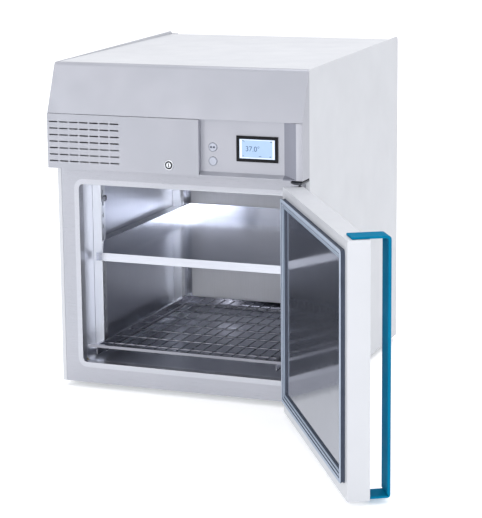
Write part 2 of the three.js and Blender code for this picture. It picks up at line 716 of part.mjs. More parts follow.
const SHELF_Z = INSULATION.top + 2; // the sheet that carries the electronics
function electronicsPieces() {
  const plate = [
    box(-320, 320, 300, 740, SHELF_Z, SHELF_Z + THIN),
    box(-320, 320, 300, 300 + THIN, SHELF_Z, SHELF_Z + 14),
    box(-320, 320, 740 - THIN, 740, SHELF_Z, SHELF_Z + 14),
  ];
  place(cabinet, "electronics_shelf", GALVANISED, built(plate));

  const base = SHELF_Z + THIN + 0.4;
  const supply = [
    box(-280, -120, 420, 620, base, base + 62),
    box(-275, -225, 392, 421, base + 4, base + 26),
  ];
  const ribs = [];
  for (let i = 0; i < 8; i++) {
    ribs.push(box(-270 + i * 18, -262 + i * 18, 440, 600, base + 58, base + 63));
  }
  place(cabinet, "power_supply", GALVANISED, built(supply, ribs));

  const boardZ = base + 12;
  const parts = [box(-40, 200, 400, 570, boardZ, boardZ + 2)];
  for (const [x, y] of [[-34, 406], [194, 406], [-34, 564], [194, 564]]) {
    parts.push(rodZ(x, y, 4, base, boardZ + 1, 10));
  }
  parts.push(box(-20, 40, 420, 470, boardZ, boardZ + 38)); // transformer
  for (let i = 0; i < 4; i++) {
    parts.push(box(60 + i * 32, 80 + i * 32, 420, 448, boardZ, boardZ + 18)); // relays
    parts.push(box(62 + i * 32, 82 + i * 32, 546, 562, boardZ, boardZ + 12)); // connectors
  }
  parts.push(box(90, 118, 486, 514, boardZ, boardZ + 5)); // controller
  for (const x of [-10, 14, 38]) {
    parts.push(rodZ(x, 520, 8, boardZ, boardZ + 26, 12)); // capacitors
  }
  place(cabinet, "control_board", BOARD_GREEN, built(parts));
}
electronicsPieces();

function inletGeometry() {
  const { x, z, halfWidth, halfHeight } = INLET;
  const face = REAR_Y + THIN + GAP + 2.5;
  const socket = { halfWidth: 13, halfHeight: 8.6, depth: 16 };
  const body = [
    box(x - halfWidth - 4, x + halfWidth + 4, face - 2.5, face, z - halfHeight - 2, z + halfHeight + 2),
    box(x - halfWidth + 1, x + halfWidth - 1, face - 26, face - 1, z - halfHeight + 1, z + halfHeight - 1),
  ];
  const cavity = box(
    x - socket.halfWidth,
    x + socket.halfWidth,
    face - socket.depth,
    face + 1,
    z - socket.halfHeight,
    z + socket.halfHeight,
  );
  const pins = [[-7, -1], [0, 3], [7, -1]].map(([dx, dz]) =>
    solid(box(x + dx - 1, x + dx + 1, face - socket.depth - 1, face - 4, z + dz - 2, z + dz + 2)),
  );
  const shell = joined(...body).subtract(solid(cavity));
  return geometryOf(pins.reduce((whole, pin) => whole.add(pin), shell));
}
place(cabinet, "mains_inlet", BLACK, inletGeometry());

// ---------------------------------------------------------------- hinges
const BRACKET = { x0: 320, x1: HALF - 0.5, front: HINGE.y - 7, thickness: 5 };
function bracketArm(x0, x1, front, back) {
  const shape = new THREE.Shape();
  shape.moveTo(x0, back).lineTo(x1, back).lineTo(x1, HINGE.y);
  shape.quadraticCurveTo(x1, front, HINGE.x - 4, front).lineTo(HINGE.x - 12, front);
  shape.lineTo(x0, front + 18);
  return shape;
}
function topBracketGeometry() {
  const bottom = DOOR.top + 5.3;
  const arm = bracketArm(BRACKET.x0, BRACKET.x1, BRACKET.front, -GAP);
  return built([
    alongZ(arm, bottom, bottom + BRACKET.thickness),
    box(300, BRACKET.x1, -3.3, -GAP, bottom, HOOD.bottom - 0.5),
    rodZ(HINGE.x, HINGE.y, PIN_RADIUS, DOOR.top - 9, bottom + 1, 20),
  ]);
}
function bottomBracketGeometry() {
  const arm = bracketArm(BRACKET.x0, BRACKET.x1, BRACKET.front, 60);
  const top = DOOR.bottom - 1.2;
  return built([
    alongZ(arm, top - BRACKET.thickness, top),
    box(BRACKET.x0, BRACKET.x1, 3, 60, top - 1, -GAP),
    rodZ(HINGE.x, HINGE.y, PIN_RADIUS, top - 1, DOOR.bottom + 10, 20),
  ]);
}
place(cabinet, "top_hinge_bracket", DARK_METAL, topBracketGeometry());
place(cabinet, "bottom_hinge_bracket", DARK_METAL, bottomBracketGeometry());

// ---------------------------------------------------------------- door, drawn closed
const doorPivot = new THREE.Group();
doorPivot.position.set(HINGE.x, HINGE.y, 0);
doorPivot.rotation.z = THREE.MathUtils.degToRad(DOOR.open);
const door = new THREE.Group();
door.position.set(-HINGE.x, -HINGE.y, 0);
doorPivot.add(door);
cabinet.add(doorPivot);

const LEAF = {
  x0: HALF - DOOR.width,
  x1: HALF,
  y0: DOOR.innerY - DOOR.thickness,
  y1: DOOR.innerY,
  z0: DOOR.bottom,
  z1: DOOR.top,
};
const BUSH = { radius: 5, length: 12 };

function doorShellGeometry() {
  const { x0, x1, y0, y1, z0, z1 } = LEAF;
  const margin = 46;
  const bushHole = BUSH.radius + GAP;
  return built(
    [box(x0, x1, y0, y1, z0, z1)],
    [
      box(x0 + SHEET, x1 - SHEET, y0 + SHEET, y1 - SHEET, z0 + SHEET, z1 - SHEET),
      box(x0 + margin, x1 - margin, y1 - 5, y1 + 1, z0 + margin, z1 - margin),
      rodZ(HINGE.x, HINGE.y, bushHole, z1 - SHEET - 1, z1 + 1, 20),
      rodZ(HINGE.x, HINGE.y, bushHole, z0 - 1, z0 + SHEET + 1, 20),
    ],
  );
}
place(door, "door_shell", WHITE, doorShellGeometry());

function doorInsulationGeometry() {
  const { x0, x1, y0, y1, z0, z1 } = LEAF;
  const skin = SHEET + GAP;
  const corner = 22;
  const block = box(x0 + skin, x1 - skin, y0 + skin, y1 - skin, z0 + skin, z1 - skin);
  return built(
    [block],
    [
      box(x1 - corner, x1, y0, y0 + corner, z1 - 20, z1),
      box(x1 - corner, x1, y0, y0 + corner, z0, z0 + 20),
    ],
  );
}
place(door, "door_insulation", FOAM, doorInsulationGeometry());

const bore = PIN_RADIUS + GAP;
const bushTop = ringZ(HINGE.x, HINGE.y, bore, BUSH.radius, LEAF.z1 - BUSH.length, LEAF.z1, 20);
const bushBottom = ringZ(HINGE.x, HINGE.y, bore, BUSH.radius, LEAF.z0, LEAF.z0 + BUSH.length, 20);
place(door, "top_hinge_bush", BRASS, bushTop);
place(door, "bottom_hinge_bush", BRASS, bushBottom);

// Outside in, on the door's inner face: the seal, a stepped frame and the polished panel.
const seal = {
  x0: LEAF.x0 + SEAL.side,
  x1: LEAF.x1 - SEAL.side,
  z0: LEAF.z0 + SEAL.bottom,
  z1: LEAF.z1 - SEAL.top,
};
const onDoor = LEAF.y1 + GAP;
function inset(rect, by) {
  return { x0: rect.x0 + by, x1: rect.x1 - by, z0: rect.z0 + by, z1: rect.z1 - by };
}
function ringOn(rect, width, y0, y1) {
  return frameRing(rect.x0, rect.x1, rect.z0, rect.z1, width, y0, y1);
}
const stepFrame = inset(seal, SEAL.width + GAP);
const centre = inset(stepFrame, SEAL.step + GAP);
place(door, "door_seal", SEAL_GREY, ringOn(seal, SEAL.width, onDoor, -0.5));
place(door, "inner_panel_frame", SEAL_GREY, ringOn(stepFrame, SEAL.step, onDoor, -5));
place(
  door,
  "inner_panel",
  MIRROR,
  box(centre.x0, centre.x1, onDoor, onDoor + THIN, centre.z0, centre.z1),
);

// One bent flat bar: over the door's top edge, down in front of it, and back to its face.
function handleGeometry() {
  const { width, stand, bar, arm, tip, tab } = HANDLE;
  const face = LEAF.y0 - GAP;
  const outer = LEAF.y0 - stand - bar;
  const inner = LEAF.y0 - stand;
  const top = LEAF.z1 + GAP + arm;
  const low = LEAF.z0 + 0.5;
  const bend = 9;
  const s = new THREE.Shape();
  s.moveTo(LEAF.y1 - tip, top).lineTo(outer + bend, top);
  s.quadraticCurveTo(outer, top, outer, top - bend).lineTo(outer, low + bend);
  s.quadraticCurveTo(outer, low, outer + bend, low).lineTo(face, low);
  s.lineTo(face, low + tab).lineTo(face - 4, low + tab).lineTo(face - 4, low + arm);
  s.lineTo(inner - 3, low + arm).lineTo(inner, low + arm + 3);
  s.lineTo(inner, top - arm - 3).lineTo(inner + 3, top - arm).lineTo(LEAF.y1 - tip, top - arm);
  const x = LEAF.x0 + HANDLE.inset;
  return alongX(s, x, x + width, 5);
}
place(door, "door_handle", BLUE, handleGeometry());

// ---------------------------------------------------------------- the part's own frame
const incubator = new THREE.Group();
cabinet.position.set(0, -CABINET.depth / 2, FOOT.height);
incubator.add(cabinet);

export default incubator;
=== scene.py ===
import math

import bmesh
import bpy
from mathutils import Matrix, Vector


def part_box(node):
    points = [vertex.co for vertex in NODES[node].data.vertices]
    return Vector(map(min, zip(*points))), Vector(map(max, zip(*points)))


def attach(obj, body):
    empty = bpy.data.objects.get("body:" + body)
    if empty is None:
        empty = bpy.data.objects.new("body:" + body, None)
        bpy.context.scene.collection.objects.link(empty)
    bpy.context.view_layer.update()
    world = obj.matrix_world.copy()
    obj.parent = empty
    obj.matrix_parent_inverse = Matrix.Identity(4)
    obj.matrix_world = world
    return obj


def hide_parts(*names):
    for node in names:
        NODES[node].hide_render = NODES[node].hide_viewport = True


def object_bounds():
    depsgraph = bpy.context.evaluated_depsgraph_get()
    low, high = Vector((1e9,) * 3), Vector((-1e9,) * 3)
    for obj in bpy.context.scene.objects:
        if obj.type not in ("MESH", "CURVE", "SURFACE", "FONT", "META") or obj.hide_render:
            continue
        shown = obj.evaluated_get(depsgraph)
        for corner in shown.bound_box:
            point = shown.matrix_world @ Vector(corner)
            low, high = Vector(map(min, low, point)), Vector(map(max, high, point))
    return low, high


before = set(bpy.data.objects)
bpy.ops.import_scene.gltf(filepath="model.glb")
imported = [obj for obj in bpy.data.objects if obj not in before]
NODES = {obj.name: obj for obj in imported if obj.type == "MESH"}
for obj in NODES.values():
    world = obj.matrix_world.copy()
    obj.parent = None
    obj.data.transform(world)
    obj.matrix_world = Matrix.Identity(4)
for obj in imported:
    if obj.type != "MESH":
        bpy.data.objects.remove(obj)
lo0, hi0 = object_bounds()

MM = 0.001
MIX_A, MIX_B, MIX_RESULT = 6, 7, 2  # the colour sockets of a Mix node


# ---------------------------------------------------------------- colours and materials
def srgb(r, g, b):
    """An 8-bit display colour as scene-linear RGBA."""
    def linear(c):
        c /= 255.0
        return c / 12.92 if c <= 0.04045 else ((c + 0.055) / 1.055) ** 2.4
    return (linear(r), linear(g), linear(b), 1.0)


class Surface:
    """A principled material with procedural colour, roughness and relief in the object's space."""

    def __init__(self, name, colour, roughness, metallic=0.0, **fixed):
        self.material = bpy.data.materials.new(name)
        self.material.use_nodes = True
        self.tree = self.material.node_tree
        self.shader = self.tree.nodes["Principled BSDF"]
        self.colour = colour
        self.set("Base Color", colour)
        self.set("Roughness", roughness)
        self.set("Metallic", metallic)
        for socket, value in fixed.items():
            self.set(socket.replace("_", " "), value)
        self.last_bump = None
        self.material.diffuse_color = colour

    def set(self, socket, value):
        """Sets a socket of the shader to a constant."""
        self.shader.inputs[socket].default_value = value

    def node(self, kind, **settings):
        """Adds a node to the material."""
        made = self.tree.nodes.new(kind)
        for key, value in settings.items():
            setattr(made, key, value)
        return made

    def link(self, a, b):
        """Joins an output to an input."""
        self.tree.links.new(a, b)

    def coords(self, stretch=(1, 1, 1)):
        """The object's own coordinates, scaled along each axis."""
        place = self.node("ShaderNodeTexCoord")
        mapping = self.node("ShaderNodeMapping")
        mapping.inputs["Scale"].default_value = stretch
        self.link(place.outputs["Object"], mapping.inputs["Vector"])
        return mapping.outputs["Vector"]

    def noise(self, scale, detail=3.0, stretch=(1, 1, 1), roughness=0.5):
        """Cloudy noise from 0 to 1."""
        made = self.node("ShaderNodeTexNoise")
        made.inputs["Scale"].default_value = scale
        made.inputs["Detail"].default_value = detail
        made.inputs["Roughness"].default_value = roughness
        self.link(self.coords(stretch), made.inputs["Vector"])
        return made.outputs["Fac"]

    def cells(self, scale):
        """A cell pattern's distance and its flat colour for each cell."""
        made = self.node("ShaderNodeTexVoronoi", feature="F1")
        made.inputs["Scale"].default_value = scale
        self.link(self.coords(), made.inputs["Vector"])
        return made.outputs["Distance"], made.outputs["Color"]

    def ramp(self, fac, low, high, start=0.3, end=0.7):
        """A grey value from low to high as fac goes from start to end."""
        made = self.node("ShaderNodeMapRange")
        made.inputs["From Min"].default_value = start
        made.inputs["From Max"].default_value = end
        made.inputs["To Min"].default_value = low
        made.inputs["To Max"].default_value = high
        self.link(fac, made.inputs["Value"])
        return made.outputs["Result"]

    def vary_colour(self, fac, other, start=0.3, end=0.7):
        """The colour goes over to `other` as fac goes from start to end."""
        mix = self.node("ShaderNodeMix", data_type="RGBA")
        self.link(self.ramp(fac, 0.0, 1.0, start, end), mix.inputs["Factor"])
        before = self.shader.inputs["Base Color"]
        if before.is_linked:
            self.link(before.links[0].from_socket, mix.inputs[MIX_A])
        else:
            mix.inputs[MIX_A].default_value = self.colour
        mix.inputs[MIX_B].default_value = other
        self.link(mix.outputs[MIX_RESULT], before)

    def vary_roughness(self, fac, low, high, start=0.3, end=0.7):
        """The roughness goes from low to high as fac goes from start to end."""
        self.link(self.ramp(fac, low, high, start, end), self.shader.inputs["Roughness"])

    def relief(self, fac, depth_mm, strength=1.0):
        """Adds a bump on top of the bumps made before."""
        bump = self.node("ShaderNodeBump")
        bump.inputs["Strength"].default_value = strength
        bump.inputs["Distance"].default_value = depth_mm * MM
        self.link(fac, bump.inputs["Height"])
        if self.last_bump:
            self.link(self.last_bump.outputs["Normal"], bump.inputs["Normal"])
        self.link(bump.outputs["Normal"], self.shader.inputs["Normal"])
        self.last_bump = bump


def powder_coat(name, colour, tint, roughness=0.38, metallic=0.0):
    """Baked enamel: a faint orange-peel surface and slightly uneven gloss."""
    s = Surface(name, colour, roughness, metallic)
    s.vary_colour(s.noise(5, 3), tint)
    s.vary_roughness(s.noise(14, 4), roughness - 0.05, roughness + 0.06)
    s.relief(s.noise(620, 2), 0.05, 0.25)
    s.relief(s.noise(60, 2), 0.12, 0.12)
    return s


GRAIN_STRETCH = 0.012
GRAIN_SHADE = 0.86


def brushed(name, colour, tint, roughness, along, depth=0.02, metallic=1.0):
    """Brushed or rolled metal with its grain along one axis: 0, 1 or 2."""
    stretch = [1.0, 1.0, 1.0]
    stretch[along] = GRAIN_STRETCH
    s = Surface(name, colour, roughness, metallic)
    grain = s.noise(1500, 3, stretch, 0.65)
    s.vary_colour(s.noise(4, 3), tint)
    s.vary_colour(grain, tuple(GRAIN_SHADE * c for c in colour[:3]) + (1.0,), 0.45, 0.9)
    s.vary_roughness(grain, roughness - 0.05, roughness + 0.09)
    s.relief(grain, depth, 0.35)
    s.relief(s.noise(9, 2), 0.5, 0.05)
    return s


SILVER_COLOUR = srgb(173, 174, 182)


def silver_coat(name):
    """Silver enamel with a fine metallic grain."""
    s = powder_coat(name, SILVER_COLOUR, srgb(166, 168, 176), 0.4, 0.68)
    s.relief(s.noise(2600, 1), 0.02, 0.2)
    return s


WHITE = powder_coat("white_enamel", srgb(197, 199, 204), srgb(192, 194, 199))
SILVER = silver_coat("silver_enamel")
PANEL = silver_coat("panel_enamel_painted_slope_shade")
# painted shade: the slope at the control panel's right, from X = 0.302 m to its edge, is painted darker
SLOPE_PAINTED_SHADE = srgb(128, 130, 141)
SLOPE_START, SLOPE_END = 0.302, 0.3385
across = PANEL.node("ShaderNodeSeparateXYZ")
PANEL.link(PANEL.coords(), across.inputs[0])
PANEL.vary_colour(across.outputs["X"], SLOPE_PAINTED_SHADE, SLOPE_START, SLOPE_START + 0.001)
PANEL.vary_colour(across.outputs["X"], SILVER_COLOUR, SLOPE_END - 0.0005, SLOPE_END)
FRAME = brushed("silver_frame", srgb(178, 179, 187), srgb(170, 172, 180), 0.3, 0, metallic=0.88)
TRIM = brushed("frame_trim", srgb(193, 195, 202), srgb(185, 187, 195), 0.3, 0, metallic=0.85)
LINER = brushed("chamber_stainless", srgb(214, 217, 226), srgb(204, 207, 218), 0.33, 2, depth=0.012)
BAFFLE = brushed(
    "baffle_stainless", srgb(242, 243, 249), srgb(235, 237, 245), 0.36, 2, depth=0.012, metallic=0.15,
)
SHELF = brushed("shelf_stainless", srgb(202, 205, 214), srgb(193, 196, 206), 0.16, 0, depth=0.012)
STRIP = brushed("strip_stainless", srgb(240, 242, 246), srgb(230, 233, 239), 0.34, 2)
WIRE = brushed("wire_stainless", srgb(150, 151, 160), srgb(120, 121, 130), 0.22, 1)
GALVANISED = Surface("galvanised", srgb(160, 164, 169), 0.45, 0.85)
spangle = GALVANISED.cells(70)[1]
GALVANISED.vary_colour(spangle, srgb(186, 190, 196), 0.1, 0.9)
GALVANISED.vary_roughness(spangle, 0.36, 0.56, 0.0, 1.0)
GALVANISED.relief(GALVANISED.noise(300, 3), 0.03, 0.3)
DARK = powder_coat("dark_metal", srgb(66, 68, 75), srgb(54, 56, 62), 0.42, 0.6)
GREY_FRAME = powder_coat("grey_frame", srgb(140, 152, 168), srgb(130, 143, 160), 0.5)
GREY_FRAME.set("Specular IOR Level", 0.3)


def gasket(name, colour, tint):
    """Soft vinyl with a fine matt grain."""
    s = Surface(name, colour, 0.6, 0.0, Specular_IOR_Level=0.25)
    s.vary_colour(s.noise(22, 4), tint)
    s.vary_roughness(s.noise(40, 3), 0.5, 0.7)
    s.relief(s.noise(900, 3), 0.05, 0.35)
    return s


SEAL = gasket("seal_rubber", srgb(162, 172, 188), srgb(152, 163, 179))
# painted shade: a darker copy of the seal's rubber, for the gasket's folds and the moulding's inner wall
SEAL_PAINTED_SHADE = gasket("seal_rubber_painted_shade", srgb(66, 73, 88), srgb(57, 64, 78))

MIRROR = Surface("polished_panel", srgb(130, 134, 146), 0.09, 0.78)
MIRROR.vary_colour(MIRROR.noise(3, 2), srgb(119, 123, 137))
MIRROR.vary_roughness(MIRROR.noise(35, 5), 0.06, 0.15)
MIRROR.relief(MIRROR.noise(7, 2), 0.35, 0.06)

BLUE = Surface("handle_blue", srgb(8, 116, 152), 0.5, 0.0, Specular_IOR_Level=0.01)
BLUE.vary_colour(BLUE.noise(10, 3), srgb(4, 107, 144))
BLUE.vary_roughness(BLUE.noise(25, 4), 0.44, 0.58)
BLUE.relief(BLUE.noise(700, 2), 0.03, 0.2)

BLACK = Surface("black_plastic", srgb(9, 10, 14), 0.35, 0.0, Specular_IOR_Level=0.2)
BLACK.vary_colour(BLACK.noise(30, 3), srgb(15, 16, 21))
BLACK.vary_roughness(BLACK.noise(60, 4), 0.3, 0.45)
BLACK.relief(BLACK.noise(1400, 2), 0.02, 0.3)

BUTTON = powder_coat("button_plastic", srgb(176, 180, 192), srgb(169, 173, 186), 0.46, 0.35)

RUBBER = Surface("foot_rubber", srgb(34, 35, 38), 0.8)
RUBBER.vary_colour(RUBBER.noise(40, 4), srgb(46, 47, 50))
RUBBER.vary_roughness(RUBBER.noise(90, 3), 0.7, 0.9)
RUBBER.relief(RUBBER.noise(800, 3), 0.08, 0.4)

FOAM = Surface("insulation_foam", srgb(226, 216, 178), 0.95)
FOAM.vary_colour(FOAM.noise(18, 4), srgb(212, 200, 158))
FOAM.relief(FOAM.cells(420)[0], 0.4, 0.5)

BOARD = Surface("circuit_board", srgb(24, 84, 52), 0.45)
BOARD.vary_colour(BOARD.noise(120, 4), srgb(34, 104, 66))
BOARD.vary_roughness(BOARD.noise(200, 3), 0.35, 0.6)

BRASS = brushed("bush_brass", srgb(186, 150, 88), srgb(160, 126, 70), 0.32, 2)

SCREEN = Surface("screen", srgb(150, 172, 200), 0.2, 0.0, Specular_IOR_Level=0.2)
SCREEN.vary_colour(SCREEN.noise(16, 2), srgb(158, 180, 207))
SCREEN.set("Emission Color", srgb(150, 176, 210))
SCREEN.set("Emission Strength", 0.25)
SCREEN.relief(SCREEN.noise(2000, 1), 0.005, 0.2)

INK = Surface("screen_ink", srgb(62, 84, 116), 0.4, 0.0, Specular_IOR_Level=0.2)
INK.vary_colour(INK.noise(200, 2), srgb(72, 96, 130))

DISC_EDGE = powder_coat("button_edge", srgb(128, 132, 146), srgb(120, 124, 139), 0.5, 0.3)
MARK = gasket("button_mark", srgb(86, 90, 102), srgb(78, 82, 94))
PAPER = gasket("screen_white", srgb(214, 222, 236), srgb(206, 216, 232))
PAPER.set("Emission Color", srgb(206, 216, 232))
PAPER.set("Emission Strength", 0.22)

# ---------------------------------------------------------------- finishing of the carried-over nodes
SHARP_ANGLE = math.radians(38)
PLANAR_ANGLE = math.radians(0.4)
WELD_DISTANCE = 2e-6


def smooth_group(limit):
    """Geometry nodes that shade smooth over edges bent less than `limit` radians, and sharp over others."""
    tree = bpy.data.node_groups.new("smooth_by_angle", "GeometryNodeTree")
    tree.interface.new_socket("Geometry", in_out="INPUT", socket_type="NodeSocketGeometry")
    tree.interface.new_socket("Geometry", in_out="OUTPUT", socket_type="NodeSocketGeometry")
    start = tree.nodes.new("NodeGroupInput")
    end = tree.nodes.new("NodeGroupOutput")
    faces = tree.nodes.new("GeometryNodeSetShadeSmooth")
    faces.domain = "FACE"
    edges = tree.nodes.new("GeometryNodeSetShadeSmooth")
    edges.domain = "EDGE"
    angle = tree.nodes.new("GeometryNodeInputMeshEdgeAngle")
    flat = tree.nodes.new("FunctionNodeCompare")
    flat.operation = "LESS_EQUAL"
    flat.inputs[1].default_value = limit
    tree.links.new(start.outputs[0], faces.inputs["Geometry"])
    tree.links.new(faces.outputs["Geometry"], edges.inputs["Geometry"])
    tree.links.new(angle.outputs["Unsigned Angle"], flat.inputs[0])
    tree.links.new(flat.outputs[0], edges.inputs["Shade Smooth"])
    tree.links.new(edges.outputs["Geometry"], end.inputs[0])
    return tree


SMOOTH = smooth_group(SHARP_ANGLE)


def soften(obj, width_mm, segments=2):
    """Rounds the object's sharp edges and shades it smoothly, leaving its flat faces flat."""
    if width_mm:
        bevel = obj.modifiers.new("bevel", "BEVEL")
        bevel.width = width_mm * MM
        bevel.segments = segments
        bevel.limit_method = "ANGLE"
        bevel.angle_limit = SHARP_ANGLE
        bevel.use_clamp_overlap = True
        bevel.miter_outer = "MITER_ARC"
    smooth = obj.modifiers.new("smooth", "NODES")
    smooth.node_group = SMOOTH
    normals = obj.modifiers.new("normals", "WEIGHTED_NORMAL")
    normals.keep_sharp = True


def dress(node, surface, width_mm=0.4, segments=2, perforated=False):
    """Gives a CAD node its material and rounded edges; a perforated sheet keeps its triangles."""
    obj = NODES[node]
    obj.data.materials.clear()
    obj.data.materials.append(surface.material)
    weld = obj.modifiers.new("weld", "WELD")
    weld.merge_threshold = WELD_DISTANCE
    if perforated:
        soften(obj, 0)
        return
    planar = obj.modifiers.new("planar", "DECIMATE")
    planar.decimate_type = "DISSOLVE"
    planar.angle_limit = PLANAR_ANGLE
    soften(obj, width_mm, segments)


for name in ("side_panel_left", "side_panel_right", "top_cover"):
    dress(name, WHITE, 0.7)
dress("door_shell", WHITE, 1.0, 3)
dress("rear_panel", GALVANISED, perforated=True)
for name in ("base_tray", "front_bulkhead", "motor_mount", "electronics_shelf"):
    dress(name, GALVANISED, 0.25)
dress("hood_shell", SILVER, 0.6, 3)
dress("control_panel", PANEL, 0.6, 3)
dress("front_frame", FRAME, 0.5)
dress("chamber_liner", LINER, 0.3)
dress("rear_baffle", BAFFLE, perforated=True)
for end in ("front", "rear"):
    for side in ("left", "right"):
        dress(f"{end}_upright_{side}", STRIP, 0.3)
        dress(f"foot_{end}_{side}", RUBBER, 0.5)
for side in ("left", "right"):
    dress(f"shelf_rail_{side}", STRIP, 0.3)
    dress(f"tray_rail_{side}", STRIP, 0.3)
    dress(f"tray_runner_{side}", WIRE, 0.3)
dress("upper_shelf", SHELF, 0.45)
for name in ("display_bezel", "display_module", "mains_inlet"):
    dress(name, BLACK, 0.4)
dress("display_screen", SCREEN, 0.15)
for name in ("upper_button", "lower_button"):
    dress(name, BUTTON, 0.3)
dress("temperature_sensor", STRIP, 0.2)
for name in ("lock_cam", "top_hinge_bracket", "bottom_hinge_bracket", "heater_element"):
    dress(name, DARK, 0.3)
dress("fan_impeller", GALVANISED, 0.2)
dress("fan_motor", DARK, 0.8)
dress("power_supply", GALVANISED, 0.5)
dress("control_board", BOARD, 0.2)
for name in ("chamber_insulation", "door_insulation"):
    dress(name, FOAM, 0)
for name in ("top_hinge_bush", "bottom_hinge_bush"):
    dress(name, BRASS, 0.2)
dress("inner_panel", MIRROR, 0.2)
dress("door_handle", BLUE, 1.2, 3)

# ---------------------------------------------------------------- tools for the added pieces
def centre_of(node):
    """The middle of a node's box."""
    lo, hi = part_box(node)
    return (lo + hi) / 2


# pieces are drawn with Y = 0 on the front frame's face and Z = 0 under the base tray, the door closed
DRAWN_TO_REST = Matrix.Translation((0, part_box("front_frame")[0].y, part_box("base_tray")[0].z))
HINGE_AT = centre_of("top_hinge_bush")
OPEN_ANGLE = math.radians(121.6)  # how far the door stands open at rest
CLOSED_TO_REST = (
    Matrix.Translation(HINGE_AT)
    @ Matrix.Rotation(OPEN_ANGLE, 4, "Z")
    @ Matrix.Translation(-HINGE_AT)
    @ DRAWN_TO_REST
)


def piece(name, mesh, surfaces, body, bevel_mm=0.0):
    """Makes an object of a bmesh and attaches it to its body."""
    bmesh.ops.remove_doubles(mesh, verts=mesh.verts, dist=1e-7)
    bmesh.ops.recalc_face_normals(mesh, faces=mesh.faces)
    data = bpy.data.meshes.new(name)
    mesh.to_mesh(data)
    mesh.free()
    for surface in surfaces:
        data.materials.append(surface.material)
    obj = bpy.data.objects.new(name, data)
    bpy.context.scene.collection.objects.link(obj)
    soften(obj, bevel_mm)
    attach(obj, body)
    return obj


SMALLEST_CORNER = 0.4


def rectangle_loop(box, inset, radius, steps=5):
    """Points (x, z) in mm around a rounded rectangle, `inset` inside box (x0, x1, z0, z1)."""
    x0, x1, z0, z1 = box[0] + inset, box[1] - inset, box[2] + inset, box[3] - inset
    r = max(radius - inset, SMALLEST_CORNER)
    points = []
    corners = ((x1 - r, z1 - r), (x0 + r, z1 - r), (x0 + r, z0 + r), (x1 - r, z0 + r))
    for start, (cx, cz) in zip((0, 90, 180, 270), corners):
        for i in range(steps + 1):
            a = math.radians(start + 90 * i / steps)
            points.append((cx + r * math.cos(a), cz + r * math.sin(a)))
    return points


def frame_sweep(box, profile, radius, base_y, matrix):
    """Sweeps a closed profile of (inset, height towards +Y, material) around a rounded rectangle, in mm."""
    mesh = bmesh.new()
    loops = []
    for inset, height, _ in profile:
        loop = rectangle_loop(box, inset, radius)
        loops.append([
            mesh.verts.new(matrix @ (Vector((x, base_y + height, z)) * MM)) for x, z in loop
        ])
    for i, (_, _, material) in enumerate(profile):
        one, two = loops[i], loops[(i + 1) % len(loops)]
        for j in range(len(one)):
            k = (j + 1) % len(one)
            mesh.faces.new((one[j], one[k], two[k], two[j])).material_index = material
    return mesh


KNURLED_FROM = 2.0


def lathe(mesh, profile, at, axis, steps=32, knurl=0.0, material=0, capped=True):
    """Turns (radius, height) points in mm about `axis` through `at`, in metres.

    knurl, in mm, deepens every other step of the rings that are wider than KNURLED_FROM.
    """
    turn = Vector(axis).to_track_quat("Z", "Y").to_matrix()
    rings = []
    for radius, height in profile:
        ring = []
        for i in range(steps):
            a = 2 * math.pi * i / steps
            r = radius - (knurl if i % 2 and radius > KNURLED_FROM else 0.0)
            point = Vector((r * math.cos(a), r * math.sin(a), height)) * MM
            ring.append(mesh.verts.new(Vector(at) + turn @ point))
        rings.append(ring)
    for one, two in zip(rings, rings[1:]):
        for i in range(steps):
            k = (i + 1) % steps
            mesh.faces.new((one[i], one[k], two[k], two[i])).material_index = material
    for ring in (rings[0], rings[-1]) if capped else ():
        mesh.faces.new(ring).material_index = material


def tube(mesh, points, radius_mm, steps=10):
    """A round bar through straight or bent points, in metres."""
    points = [Vector(p) for p in points]
    rings = []
    for i, p in enumerate(points):
        before, after = points[max(i - 1, 0)], points[min(i + 1, len(points) - 1)]
        turn = (after - before).normalized().to_track_quat("Z", "Y").to_matrix()
        ring = []
        for k in range(steps):
            a = 2 * math.pi * k / steps
            ring.append(mesh.verts.new(p + turn @ (Vector((math.cos(a), math.sin(a), 0)) * radius_mm * MM)))
        rings.append(ring)
    for one, two in zip(rings, rings[1:]):
        for i in range(steps):
            k = (i + 1) % steps
            mesh.faces.new((one[i], one[k], two[k], two[i]))
    mesh.faces.new(rings[0])
    mesh.faces.new(rings[-1])


def slab(mesh, x0, x1, y0, y1, z0, z1, material=0):
    """An upright block with its edges along the axes, in metres; piece() rounds it."""
    v = [mesh.verts.new((x, y, z)) for x in (x0, x1) for y in (y0, y1) for z in (z0, z1)]
    sides = ((0, 1, 3, 2), (4, 6, 7, 5), (0, 4, 5, 1), (2, 3, 7, 6), (0, 2, 6, 4), (1, 5, 7, 3))
    for side in sides:
        mesh.faces.new([v[i] for i in side]).material_index = material


def join_curve(mesh, curve, matrix):
    """Adds a filled curve's surface to a bmesh and frees the curve."""
    obj = bpy.data.objects.new("outline", curve)
    made = bpy.data.meshes.new_from_object(obj)
    made.transform(matrix)
    mesh.from_mesh(made)
    bpy.data.objects.remove(obj)
    bpy.data.curves.remove(curve)
    bpy.data.meshes.remove(made)


def flat_curve(outlines, thickness, edge):
    """A plate `thickness` thick with an edge radius, filled between closed outlines of (x, y) metres."""
    curve = bpy.data.curves.new("outline", "CURVE")
    curve.dimensions = "2D"
    curve.fill_mode = "BOTH"
    curve.extrude = thickness / 2 - edge
    curve.bevel_depth = edge
    curve.bevel_resolution = 1
    curve.offset = -edge
    for outline in outlines:
        spline = curve.splines.new("POLY")
        spline.points.add(len(outline) - 1)
        for point, (x, y) in zip(spline.points, outline):
            point.co = (x, y, 0, 1)
        spline.use_cyclic_u = True
    return curve


FACING_FRONT = Matrix.Rotation(math.radians(90), 4, "X")  # a drawing in XY stands up and faces -Y

# ---------------------------------------------------------------- door: gasket and panel frame
# painted shade: the second material index puts the darker rubber on the gasket's flanks and groove, where
# shade falls
RUBBER_SKIN, PAINTED_FOLD_SHADE = 0, 1
